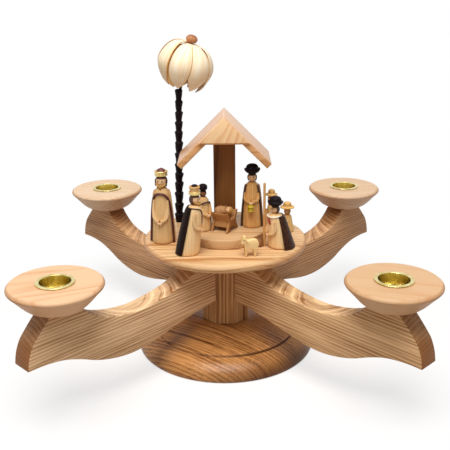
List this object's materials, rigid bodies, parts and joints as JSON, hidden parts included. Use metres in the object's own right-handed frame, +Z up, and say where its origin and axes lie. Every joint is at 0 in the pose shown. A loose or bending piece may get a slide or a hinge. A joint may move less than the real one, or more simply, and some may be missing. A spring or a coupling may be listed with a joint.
{
  "type": "advent candelabrum",
  "caption": "Turned and sawn wooden Advent candelabrum with wavy arms, candle plates with brass cups, and a round stage with stable, palm and manger figures.",
  "frame": {"origin": "middle of the foot's underside, on the table", "axes": "+Z up; the manger scene faces -Y; the arms run along the diagonals between X and Y"},
  "size_m": [0.3056, 0.3056, 0.2626],
  "materials": {
    "oiled_ash": "oiled, open grain",
    "pale_wood": "turned, matt lacquer",
    "dark_wood": "walnut stain",
    "black_wood": "black stain",
    "warm_wood": "warm brown stain",
    "shaved_wood": "planed shaving",
    "straw_wood": "straw coloured stain",
    "gold_paint": "gold paint on wood",
    "brass": "pressed and polished",
    "zinc_steel": "zinc plated"
  },
  "bodies": {
    "candelabrum": {"arm_back_left": "oiled_ash", "arm_back_right": "oiled_ash", "arm_dowel_lower": "pale_wood", "arm_dowel_upper": "pale_wood", "arm_front_left": "oiled_ash", "arm_front_right": "oiled_ash", "bundle": "warm_wood", "candle_plate_back_left": "pale_wood", "candle_plate_back_right": "pale_wood", "candle_plate_front_left": "pale_wood", "candle_plate_front_right": "pale_wood", "centre_post": "oiled_ash", "child": "shaved_wood", "foot_disc": "oiled_ash", "foot_screw": "zinc_steel", "gable_board": "pale_wood", "guardian_arms": "warm_wood", "guardian_body": "warm_wood", "guardian_hat": "black_wood", "guardian_head": "pale_wood", "helper_1_body": "warm_wood", "helper_1_hat": "straw_wood", "helper_2_body": "warm_wood", "helper_2_hat": "straw_wood", "king_1_arms": "pale_wood", "king_1_body": "pale_wood", "king_1_crown": "gold_paint", "king_1_head": "pale_wood", "king_2_arms": "pale_wood", "king_2_body": "pale_wood", "king_2_crown": "gold_paint", "king_2_head": "pale_wood", "king_3_body": "warm_wood", "king_3_head": "pale_wood", "king_3_turban": "black_wood", "lamb": "straw_wood", "lantern": "gold_paint", "manger": "warm_wood", "palm_bead": "warm_wood", "palm_peg": "black_wood", "palm_shavings": "shaved_wood", "palm_trunk": "black_wood", "plate_screw_back_left": "zinc_steel", "plate_screw_back_right": "zinc_steel", "plate_screw_front_left": "zinc_steel", "plate_screw_front_right": "zinc_steel", "roof_block": "pale_wood", "shepherd_body": "pale_wood", "shepherd_hat": "black_wood", "shepherd_head": "pale_wood", "shepherd_staff": "warm_wood", "stable_dowel": "pale_wood", "stable_post": "dark_wood", "stage_disc": "pale_wood", "stage_dowel": "pale_wood", "step_disc": "pale_wood"},
    "cup_back_left": {"candle_cup_back_left": "brass"},
    "cup_back_right": {"candle_cup_back_right": "brass"},
    "cup_front_left": {"candle_cup_front_left": "brass"},
    "cup_front_right": {"candle_cup_front_right": "brass"}
  },
  "joints": [
    {"name": "cup_lift_back_left", "type": "slide", "parent": "candelabrum", "child": "cup_back_left", "axis": [0, 0, 1], "range_m": [0, 0.025]},
    {"name": "cup_lift_back_right", "type": "slide", "parent": "candelabrum", "child": "cup_back_right", "axis": [0, 0, 1], "range_m": [0, 0.025]},
    {"name": "cup_lift_front_left", "type": "slide", "parent": "candelabrum", "child": "cup_front_left", "axis": [0, 0, 1], "range_m": [0, 0.025]},
    {"name": "cup_lift_front_right", "type": "slide", "parent": "candelabrum", "child": "cup_front_right", "axis": [0, 0, 1], "range_m": [0, 0.025]}
  ]
}
